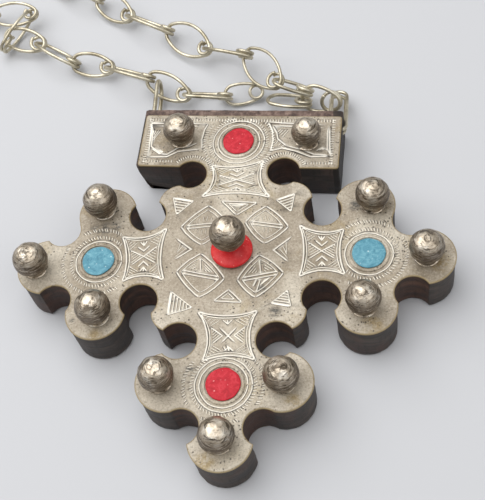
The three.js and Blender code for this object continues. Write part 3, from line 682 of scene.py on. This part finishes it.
def edge_ticks(a, b, length):
    """Ticks from the line a, b towards its right side."""
    dx, dy = b[0] - a[0], b[1] - a[1]
    span = math.hypot(dx, dy)
    for i in range(int(span / TICK_PITCH)):
        x, y = between(a, b, (i + 0.5) * TICK_PITCH / span)
        cut([(x, y), (x + dy / span * length, y - dx / span * length)], FINE)


def bar_spot(x, y):
    x, y = on_bar(x, y)
    return (x / D, y / D)


half, tall = BAR_HALF - TICK_BORDER, BAR_HEIGHT / 2 - TICK_BORDER
for start, stop, length in (((-half, tall), (half, tall), 0.036), ((half, tall), (half, -tall), 0.036),
                            ((-half, -tall), (-half, tall), 0.036), ((half, -tall), (13.6, -tall), 0.03),
                            ((-13.2, -tall), (-half, -tall), 0.03)):
    edge_ticks(bar_spot(*start), bar_spot(*stop), length)
for side, start, stop in ((1, 170, 20), (-1, 160, 10)):
    x, y, r = BAR_BITE
    for k in range(24):
        angle, centre = start + (stop - start) * k / 23, (side * x / D, y / D)
        cut([around(centre, (r + 0.7) / D, angle), around(centre, (r + 1.5) / D, angle)], THIN)

for points in (
        [(-0.719, 1.257), (-0.252, 1.233)], [(-0.7, 1.229), (-0.281, 1.205)],
        [(-0.252, 1.233), (-0.281, 1.171), (-0.295, 1.076), (-0.29, 0.986)],
        [(-0.719, 0.929), (-0.562, 0.924), (-0.476, 0.971), (-0.295, 0.986)],
        [(-0.61, 0.952), (-0.562, 0.948), (-0.486, 1.0), (-0.4, 1.01), (-0.324, 1.048)],
        [(-0.7, 1.229), (-0.695, 1.029), (-0.61, 0.952)],
        [(-0.712, 1.25), (-0.712, 0.935)],
        [(0.229, 1.219), (0.705, 1.167)], [(0.257, 1.19), (0.69, 1.138)],
        [(0.257, 1.19), (0.295, 1.114), (0.305, 1.057), (0.381, 0.981)],
        [(0.229, 1.219), (0.262, 1.13), (0.268, 1.04), (0.252, 0.948)],
        [(0.252, 0.948), (0.343, 0.967), (0.448, 0.933), (0.562, 0.876), (0.7, 0.871)],
        [(0.381, 0.986), (0.486, 0.948), (0.59, 0.895), (0.695, 0.886)],
        [(0.705, 1.167), (0.71, 0.88)], [(0.69, 1.138), (0.692, 0.915)]):
    cut(points, BOLD, 0.02)
for k in range(4):
    on = k * 0.022
    for points in ([(-0.695 + on, 1.01 - on * 0.2), (-0.615 + on * 0.4, 0.945 + on * 0.3)],
                   [(0.312 + on, 1.04 - on), (0.285 + on, 1.0 - on * 0.6)],
                   [(0.6 + on, 0.925 + on * 0.3), (0.665 + on * 0.4, 0.965 - on * 0.4)],
                   [(-0.69 + on, 1.19), (-0.69, 1.15 - on)],
                   [(0.33 + on, 1.15), (0.3 + on * 0.4, 1.12 - on)]):
        cut(points, THIN, FREE)


# Plate: its flat front is cut by every stroke, so the grooves are real

EDGE_WIDTH, EDGE_DROP = 0.28, 0.16  # the worn edge all round
CUT_MARGIN, CUT_REACH = 0.5, 0.4  # how near the edge a cut may come, and how far round a cut is looked for
DIRT_AND_SHADE = 0.4  # dirt and painted shade round the studs' feet


def inside(point, polygon):
    x, y = point
    odd = False
    for _, (ax, ay), (bx, by) in around_loop(polygon):
        if (ay > y) != (by > y) and x < ax + (y - ay) * (bx - ax) / (by - ay):
            odd = not odd
    return odd


def with_ends(line):
    """The line with a point a little in from each end, where the cut reaches its full depth."""
    return [line[0], between(line[0], line[1], TAPER_SHARE), *line[1:-1],
            between(line[-1], line[-2], TAPER_SHARE), line[-1]]


def stroke_side(line, offset):
    """The line moved to its left by offset, but for its ends."""
    side = [line[0]]
    for before, (x, y), after in zip(line, line[1:], line[2:]):
        u = Vector((x - before[0], y - before[1])).normalized()
        v = Vector((after[0] - x, after[1] - y)).normalized()
        bend = (u + v).normalized()
        reach = offset / max(0.4, bend.dot(u))
        side.append((x - bend.y * reach, y + bend.x * reach))
    return [*side, line[-1]]


def engraved_plate():
    outline = cross_outline(0, 0, 0)
    rim, safe = inset(outline, EDGE_WIDTH), inset(outline, CUT_MARGIN)
    points, edges, marks = [], [], []

    def add_run(run, closed=False):
        start = len(points)
        points.extend(run)
        edges.extend((start + i, start + i + 1) for i in range(len(run) - 1))
        if closed:
            edges.append((start + len(run) - 1, start))

    add_run(outline, True)
    add_run(rim, True)
    for line, half in cuts:
        if not all(inside(p, safe) for p in line):
            continue
        line = with_ends(line)
        add_run(line)
        # The outer runs bound the painted shade band beside the cut
        for side in (-1 - SHADE_BAND, -1, 1, 1 + SHADE_BAND):
            add_run(stroke_side(line, side * half))
        marks.append((line, half))
    flat, _, faces, *_ = delaunay_2d_cdt([Vector(p) for p in points], edges, [], 0, 1e-4)

    grid = {}
    for line, half in marks:
        for a, b in zip(line, line[1:]):
            low_x, high_x = sorted((a[0], b[0]))
            low_y, high_y = sorted((a[1], b[1]))
            for gx in range(math.floor(low_x - CUT_REACH), math.floor(high_x + CUT_REACH) + 1):
                for gy in range(math.floor(low_y - CUT_REACH), math.floor(high_y + CUT_REACH) + 1):
                    grid.setdefault((gx, gy), []).append((a, b, half, line))

    def cut_share(p):
        best = painted_shade = 0.0
        for a, b, half, line in grid.get((math.floor(p[0]), math.floor(p[1])), ()):
            dx, dy = b[0] - a[0], b[1] - a[1]
            t = max(0, min(1, ((p[0] - a[0]) * dx + (p[1] - a[1]) * dy) / (dx * dx + dy * dy)))
            gx, gy = p[0] - a[0] - t * dx, p[1] - a[1] - t * dy
            gap = math.hypot(gx, gy)
            ends = min(math.dist(p, line[0]), math.dist(p, line[-1]))
            taper = min(1, ends / min(TAPER, TAPER_SHARE * math.dist(line[0], line[-1]) + 1e-6)) ** 1.5
            best = max(best, (1 - gap / half) * taper)
            # Painted shade: a dark band along the cut's SHADE side
            if gx * SHADE[0] + gy * SHADE[1] > 0:
                painted_shade = max(painted_shade, (1 - abs(gap - half) / (SHADE_BAND * half)) * taper)
        return best, painted_shade

    key = lambda p: (round(p[0], 4), round(p[1], 4))
    outer = {key(p) for p in outline}
    vertices, share, shaded, border = [], [], [], []
    for p in flat:
        at_edge = key(p) in outer
        amount, painted_shade = (0, 0) if at_edge else cut_share(p)
        share.append(2 * amount)
        shaded.append(2 * painted_shade)
        border.append(1.0 if at_edge else 0.0)
        vertices.append((p.x, p.y, TOP - (EDGE_DROP if at_edge else GROOVE * amount)))
    kept = [f for f in faces if inside([sum(flat[i][k] for i in f) / len(f) for k in (0, 1)], outline)]

    # The wall down from the plate's edge, and its back
    lookup = {key(p): i for i, p in enumerate(flat)}
    edge = [lookup.get(key(p)) for p in outline]
    count, n = len(vertices), len(outline)
    vertices += [(x, y, FRONT) for x, y in outline]
    for i in range(n):
        j = (i + 1) % n
        if edge[i] is not None and edge[j] is not None:
            kept.append((edge[i], count + i, count + j, edge[j]))
    kept.append(tuple(count + i for i in reversed(range(n))))
    piece = make_piece("engraved_plate", (vertices, kept), SILVER_PLATE, ["front_plate"],
                       smooth=False)
    mark(piece, "cut", share + [0.0] * n)
    mark(piece, "painted_shade", shaded + [0.0] * n)
    mark(piece, "edge", border + [1.0] * n)
    # Dirt with painted shade round each stud's foot
    dirt_and_shade = []
    for x, y, _ in vertices:
        gap = min(math.dist((x, y), s[:2]) for s in STUDS) - COLLAR
        dirt_and_shade.append(max(0.0, 1 - max(0, gap)) * DIRT_AND_SHADE * (0.5 + noise.noise(Vector((x, y, 0)) * 0.6)))
    mark(piece, "dirt_and_shade", dirt_and_shade)


STUDS = [(x, BAR_Y + up, radius, f"stud_bar_{i + 1}") for i, (x, up, radius) in enumerate(BAR_STUDS)]
for arm_name, arm in ARMS.items():
    lobes = (SIDE_LOBE, END_LOBE, SIDE_LOBE)
    for letter, lobe, side, (dx, dy) in zip("abc", lobes, (-1, 0, 1), arm["shifts"]):
        x, y = arm_point(arm, lobe[0], side * (lobe[1] - arm["squeeze"]))
        STUDS.append((x + dx, y + dy, arm["ball"], f"stud_{arm_name}_{letter}"))

engraved_plate()


# Wood core: hand-sawn walls, the front edge of the bar's top rounded, its lower left corner worn

SETBACK, ROUGH, FINE_ROUGH = 0.05, 0.07, 0.045
WORN_DEPTH, WORN_REACH, WORN_HEIGHT = 1.7, 3.2, 7.5


def wood_core():
    outline = cross_outline(-OVERHANG, BAR_BORDER, BAR_ENDS)
    normals = outward_normals(outline)
    up = Vector((-SLANT_SIN, SLANT_COS))
    top_line = BAR_HEIGHT / 2 + BAR_BORDER
    is_top = [Vector((x, y - BAR_Y)).dot(up) > top_line - BAR_CORNER - 0.01 for x, y in outline]
    worn_corner = on_bar(-BAR_HALF - BAR_ENDS, -BAR_HEIGHT / 2)
    levels = [(0.0, 0.35), (0.12, 0.12)]
    levels += [(0.35 + k * 0.79, 0.0) for k in range(9)]
    levels += [(WOOD - BAR_ROUND * (1 - math.sin(k * 15 * RAD)), 0.0) for k in range(7)]
    vertices = []
    for z, bevel in levels:
        for (x, y), (nx, ny), top in zip(outline, normals, is_top):
            pull = bevel
            if z > WOOD - BAR_ROUND and top:
                rise = (z - (WOOD - BAR_ROUND)) / BAR_ROUND
                pull = BAR_ROUND * (1 - math.sqrt(max(0, 1 - rise * rise)))
                pull *= min(1, abs(Vector((nx, ny)).dot(up)) * 1.2)
            rough = ROUGH * noise.noise(Vector((x, y, z * 0.35)) * 0.9)
            rough += FINE_ROUGH * noise.noise(Vector((x * 3.5, y * 3.5, z * 0.4)))
            pull += SETBACK + rough if 0.2 < z < WOOD - 0.05 else SETBACK
            near = max(0, 1 - math.dist((x, y), worn_corner) / WORN_REACH)
            pull += WORN_DEPTH * near * max(0, 1 - z / WORN_HEIGHT) ** 1.4
            vertices.append((x - nx * pull, y - ny * pull, z))
    faces = strip(len(levels), len(outline))
    piece = make_piece("sawn_core", (vertices, faces), WOOD_LOOK, ["wood_core"])
    hollow = []
    for (ax, ay), (bx, by), (cx, cy) in around_loop(outline):
        hollow.append(1.0 if (bx - ax) * (cy - by) - (by - ay) * (cx - bx) < -1e-4 else 0.0)
    mark(piece, "bite", hollow * len(levels))
    for index, polygon in enumerate(piece.data.polygons):
        polygon.use_smooth = index < len(faces) - 2
    piece.data.set_sharp_from_angle(angle=35 * RAD)


wood_core()


# Studs: hollows and hammer marks all over the ball

BALL_SIDES, BALL_ROWS, DENT, FINE_DENT = 56, 34, 0.11, 0.035


def hammered_ball(name, x, y, radius, collar, foot, nodes, seed):
    seat = foot + SEAT
    centre = seat + NECK_HEIGHT + math.sqrt(radius ** 2 - NECK ** 2)
    low = math.asin((seat + NECK_HEIGHT - centre) / radius)
    profile = [(0, seat), (collar - 0.05, seat), (collar, seat + 0.06),
               (collar - 0.02, seat + COLLAR_HEIGHT * 0.6), (collar - 0.25, seat + COLLAR_HEIGHT),
               (NECK + 0.1, seat + COLLAR_HEIGHT)]
    for i in range(BALL_ROWS + 1):
        angle = low + (math.pi / 2 - low) * i / BALL_ROWS
        profile.append((0 if i == BALL_ROWS else radius * math.cos(angle), centre + radius * math.sin(angle)))
    vertices, faces = lathe(profile, BALL_SIDES, (x, y))
    middle = Vector((x, y, centre))
    shaped = []
    for v in vertices:
        out = Vector(v) - middle
        if v[2] > seat + NECK_HEIGHT + 0.1:
            where = out * 0.75 + Vector((seed * 3.7, seed * 1.3, 0))
            dent = 0.05 + DENT * noise.noise(where * 1.1) + FINE_DENT * noise.noise(where * 3.4)
            out *= 1 - max(0.0, dent) / radius
        shaped.append(middle + out)
    piece = make_piece(name, (shaped, faces), SILVER_BALL, nodes)
    # Painted shade round the ball, but for its top and the part just above the plate
    heights = [(v[2] - centre) / radius for v in shaped]
    mark(piece, "low", [min(1, max(0, (0.9 - h) / 0.65)) * min(1, max(0, (h + 0.56) / 0.14))
                        for h in heights])


for i, (x, y, radius, node) in enumerate(STUDS):
    hammered_ball("ball_" + node[5:], x, y, radius, COLLAR, TOP, [node], i + 1)
hammered_ball("ball_centre", *BOSS, CENTRE_BALL, CENTRE_COLLAR, TOP + SEAT + BOSS_HEIGHT, ["stud_centre"], 29)


# Boss, discs and their rims

BEAD = [(0, 0), (3.2, 0), (3.62, 0.06), (3.95, 0.25), (4.1, 0.5), (4.08, 0.72), (3.9, 0.95),
        *((1.6 + 2.3 * (1 - k / 14) ** 2.1, 0.95 + 1.95 * k / 14) for k in range(1, 15)), (0, BOSS_HEIGHT)]
INLAY = [(0, 0), (3.22, 0), (3.26, 0.06), (3.22, 0.14), (3.0, 0.19), (2.2, 0.22), (1.1, 0.23), (0, 0.24)]
RIM = [(3.42, 0), (4.02, 0), (4.01, 0.03), (3.9, 0.1), (3.7, 0.16), (3.52, 0.16), (3.42, 0.1), (3.42, 0)]

low = TOP + SEAT
make_piece("red_boss", lathe(BEAD, 64, BOSS, low), RED_BOSS, ["boss_bead"])
for k, (name, look, slot) in enumerate((("bar", RED, "red_glass"), ("bottom", RED, "red_glass"),
                                        ("left", BLUE, "blue_glass"), ("right", BLUE, "blue_glass"))):
    at = disc_place(name)
    vertices, faces = lathe(INLAY, 56, at, low)
    wavy = []
    for x, y, z in vertices:
        dx, dy = x - at[0], y - at[1]
        wave = noise.noise(Vector((dx, dy, k * 5)) * 0.55)
        grow = min(1, 0.99 + 0.05 * wave) if math.hypot(dx, dy) > 1 else 1
        wavy.append((at[0] + dx * grow, at[1] + dy * grow, z))
    make_piece("inlay_" + name, (wavy, faces), look, ["disc_" + name])
    vertices, faces = lathe(RIM, 72, at, low)
    rough = [(x, y, z + (0.04 * noise.noise(Vector((x, y, 3)) * 1.4) if z > low + 0.05 else 0))
             for x, y, z in vertices]
    make_piece("rim_" + name, (rough, faces), SILVER_PLATE, ["bezel_" + name])


# Wire fittings: the left staple and the right ring's two turns

def bar_top_y(x):
    return BAR_Y + (BAR_HEIGHT / 2 + BAR_BORDER) / SLANT_COS + x * SLANT_TAN


LOOP_X = -(BAR_HALF + BAR_ENDS - LOOP_IN)
face, bend = bar_top_y(LOOP_X), LOOP_WIDTH / 2
end_y = face + LOOP_REACH - bend
path = [(face - LEG, 0), (face + 1, 0)]
for i in range(25):
    angle = -math.pi / 2 + math.pi * i / 24
    path.append((end_y + bend * math.cos(angle), bend + bend * math.sin(angle)))
path += [(face + 1, LOOP_WIDTH), (face - LEG, LOOP_WIDTH)]
staple = tube([Vector((LOOP_X, y, LOOP_LOW + rise)) for y, rise in path], LOOP_WIRE, 14, Vector((1, 0, 0)))
make_piece("staple_left", staple, SILVER_WIRE, ["loop_left"])


def ring_path(steps):
    outward = Vector((0, math.cos(RING_TILT * RAD), -math.sin(RING_TILT * RAD)))
    across = Vector((1, 0, 0))
    stack = across * 0.25 + across.cross(outward) * 0.97
    end_x = BAR_HALF + BAR_ENDS
    inner_x = end_x + RING_IN + WIRE - 2 * RING_HALF
    entry = Vector((inner_x + RING_HALF, bar_top_y(inner_x), RING_AT_TOP))
    straight = RING_LENGTH - 2 * RING_HALF
    low = entry + outward * (RING_HALF - RING_BELOW)
    turn_points = []
    put = lambda u, v: turn_points.append(low + outward * u + across * v)
    for side, base, shares in ((1, 0, (0, 0.33, 0.67)), (-1, straight, (1, 0.67, 0.33))):
        for i in range(steps):
            angle = side * (math.pi * i / steps - math.pi / 2)
            put(base - side * RING_HALF * math.cos(angle), RING_HALF * math.sin(angle))
        for share in shares:
            put(straight * share, side * RING_HALF)
    per = len(turn_points)
    points = [turn_points[i % per] + stack * (RING_PITCH * (i / per - RING_TURNS / 2))
              for i in range(per * RING_TURNS + 1)]
    return points, per, stack.normalized(), outward


ring_points, per_turn, ring_normal, ring_outward = ring_path(6)
ring = tube(ring_path(18)[0], WIRE, 14, ring_normal)
make_piece("turns_right", ring, SILVER_WIRE, ["ring_right"])


# Chain: the part's own links, with more sides and in slightly thicker wire but for the tight ones

def link_path(length, eye, end, hook):
    end_x = end - length
    to_eye, to_end = BOW - eye, BOW - end
    bow_x = (end_x ** 2 + to_eye ** 2 - to_end ** 2) / (2 * end_x)
    bow_y = -math.sqrt(to_eye ** 2 - bow_x ** 2)
    eye_turn = math.atan2(-bow_y, -bow_x) / RAD
    end_turn = math.atan2(-bow_y, end_x - bow_x) / RAD
    runs = [(0, 0, eye, eye_turn - FIRST_WRAP, eye_turn, 8), (bow_x, bow_y, BOW, eye_turn, end_turn, 3),
            (end_x, 0, end, end_turn, 360 - end_turn, 5)]
    if not hook:
        runs += [(bow_x, -bow_y, BOW, 360 - end_turn, 360 - eye_turn, 3),
                 (0, 0, eye, 360 - eye_turn, 360 - eye_turn + SECOND_WRAP, 6)]
    points = []
    for i, (x, y, r, start, stop, steps) in enumerate(runs):
        steps *= 4
        for k in range(steps + (1 if i == len(runs) - 1 else 0)):
            angle = start + (stop - start) * k / steps
            share = min(1, max(0, (angle - eye_turn) / (360 - 2 * eye_turn)))
            points.append((x + r * math.cos(angle * RAD), y + r * math.sin(angle * RAD),
                           (WIRE + LAYER_GAP / 2) * math.cos(share * math.pi)))
    return points


def far_end(start, step):
    """Where a link that starts there ends, by its heading, length and height above the table."""
    angle = step["heading"] * RAD
    end = start + Vector((math.cos(angle), math.sin(angle), 0)) * step["length"]
    return Vector((end.x, end.y, step["height"]))


def place_link(name, eye, plain, eye_wire, shape):
    along = (eye - plain).normalized()
    normal = (eye_wire - along * eye_wire.dot(along)).normalized()
    normal *= 1 if normal.z >= 0 else -1
    normal = Matrix.Rotation(shape.get("twist", 0) * RAD, 3, along) @ normal
    return dict(name=name, eye=eye, plain=plain, along=along, across=normal.cross(along), normal=normal,
                length=(eye - plain).length, eye_radius=shape.get("eye", EYE),
                end_radius=shape.get("end", PLAIN_END), hook=shape.get("hook", False))


def plain_end(link, angle):
    c, s = math.cos(angle * RAD), math.sin(angle * RAD)
    reach = link["end_radius"] - EYE_SLIP
    centre = link["eye"] + link["along"] * (link["end_radius"] - link["length"])
    return (centre + link["along"] * (reach * c) + link["across"] * (reach * s),
            link["along"] * -s + link["across"] * c)


def hang_link(name, before, step):
    """A link whose eye hangs in the plain end of the one before."""
    eye, eye_wire = plain_end(before, step.get("at", 180))
    return place_link(name, eye, far_end(eye, step), eye_wire, step)


def thread_link(name, before, step):
    """A link whose plain end runs through the eye of the one before."""
    plain = before["eye"]
    eye = far_end(plain, step)
    return place_link(name, eye, plain, (eye - plain).cross(before["normal"]), step)


def step(degrees, length, height, **more):
    return dict(heading=degrees, length=length, height=height, **more)


def strand(prefix, first, steps, join):
    links = []
    for i, shape in enumerate(steps):
        links.append(join(f"{prefix}_{i + 1:02d}", links[-1] if links else first, shape))
    return links


leg = lambda i: (ring_points[i] + ring_points[i + per_turn]) / 2
grip = leg(per_turn - 3).lerp(leg(per_turn - 2), RING_EYE_SHARE)
shape = step(165, 6.6, 3.5, eye=2.0, end=3.0, twist=-12)
ring_link = place_link("link_ring", grip, far_end(grip, shape), ring_outward, shape)
loop_end = Vector((LOOP_X, bar_top_y(LOOP_X) + LOOP_REACH, LOOP_LOW + LOOP_WIDTH / 2))
loop_link_end = loop_end + Vector((-2.75, 0.9, 1.15))
loop_link_eye = far_end(loop_link_end, step(-26.57, 9.39, 3.1))
loop_link = place_link("link_loop", loop_link_eye, loop_link_end, Vector((-0.25, -0.51, 0.82)), {})
links = [ring_link, loop_link]
under_ring = hang_link("link_mid_03", ring_link, step(167, 8.0, 1.9, at=208, eye=1.6))
room = under_ring["plain"].x - loop_link_eye.x - MIDDLE_GAP
links += strand("link_mid", loop_link, [step(-3, MIDDLE_SHARE * room, 2.4),
                                        step(10, (1 - MIDDLE_SHARE) * room, 2.0)], thread_link)
links.append(under_ring)
links += strand("link_left", loop_link, [
    step(154, 11.6, 2.8), step(167, 8.8, 2.8), step(146, 11.2, 3, eye=1.55),
    step(167, 8.3, 4, eye=1.6, twist=-4), step(61, 9.7, 3.9, at=236, eye=1.95), step(174, 10, 3.2),
    step(165, 10, 3.15), step(155, 10, 3.15), step(150, 10, 3.15), step(150, 10, 3.15),
    step(145, 10, 3.15), step(140, 10, 3.15, hook=True)], hang_link)
links += strand("link_right", ring_link, [
    step(172, 6.6, 7.2, at=152, twist=-18, eye=1.7), step(128, 11.5, 5.6, at=146, twist=-14, eye=1.7),
    step(159, 10.2, 3.9, at=192, twist=6, eye=1.7), step(144, 11.9, 3), step(152, 11.4, 3),
    step(144, 10.2, 2.8), step(153, 10, 2.8), step(140, 10, 2.8), step(130, 10, 2.8),
    step(140, 10, 2.8), step(150, 10, 2.8), step(155, 10, 2.8), step(160, 10, 2.8)], hang_link)

for link in links:
    path = [link["eye"] + link["along"] * x + link["across"] * y + link["normal"] * z
            for x, y, z in link_path(link["length"], link["eye_radius"], link["end_radius"], link["hook"])]
    wire = tube(path, TIGHT.get(link["name"], VISIBLE_WIRE), 12, link["normal"])
    make_piece("wire_" + link["name"][5:], wire, SILVER_WIRE, [link["name"]],
               body=link["name"])


# Stage: plain floor, soft light, and the camera as it was fitted to the photo

FLOOR_Z = -0.0002
SENSOR, FOCAL_PIXELS, PHOTO_PIXELS = 36, 1044.68, 500
CAMERA_TURN, CAMERA_AT = (2.60927129, -0.131808262, -0.0506256126), (0.0302, -0.0998, 0.1825)

floor_mesh = bpy.data.meshes.new("floor")
floor_mesh.from_pydata([(x, y, FLOOR_Z) for x, y in ((-1.5, -1.5), (1.5, -1.5), (1.5, 1.5), (-1.5, 1.5))],
                       [], [(0, 1, 2, 3)])
floor_mesh.materials.append(material("plain_floor").finish(srgb(198, 199, 202), 0.9, 0.0))
floor = add_object("floor", floor_mesh)

# Name, place, size and watts of each square lamp; they point at the middle of the cross
for name, at, size, watts in (("key", (-0.20, 0.10, 0.50), 0.7, 3.6), ("fill", (0.5, -0.3, 0.6), 0.6, 1.3)):
    data = bpy.data.lights.new(name, "AREA")
    data.shape = "RECTANGLE"
    data.size = data.size_y = size
    data.energy = watts
    lamp = add_object(name, data)
    lamp.location = at
    lamp.rotation_euler = (-Vector(at)).to_track_quat("-Z", "Y").to_euler()

room = Maker(bpy.data.worlds.new("soft_room"))
height = room.axis("Z", room.coordinates["Generated"])
sky = room.ramp(height, (0.0, (0.32, 0.31, 0.30, 1)), (0.85, 1.0))
room.feed(room.tree.nodes["Background"], {"Color": sky, "Strength": 0.5})
bpy.context.scene.world = room.owner
bpy.context.scene.view_settings.view_transform = "Standard"

camera_data = bpy.data.cameras.new("camera")
camera_data.sensor_fit = "AUTO"
camera_data.sensor_width = SENSOR
camera_data.lens = SENSOR * FOCAL_PIXELS / PHOTO_PIXELS
camera_data.clip_start = 0.01
camera = add_object("camera", camera_data)
to_camera = Matrix.Identity(3)
for angle, axis in zip(CAMERA_TURN, "XYZ"):
    to_camera = to_camera @ Matrix.Rotation(angle, 3, axis)
right, down, forward = to_camera
rows = [(right[i], -down[i], -forward[i], CAMERA_AT[i]) for i in range(3)]
camera.matrix_world = Matrix([*rows, (0, 0, 0, 1)])
bpy.context.scene.camera = camera
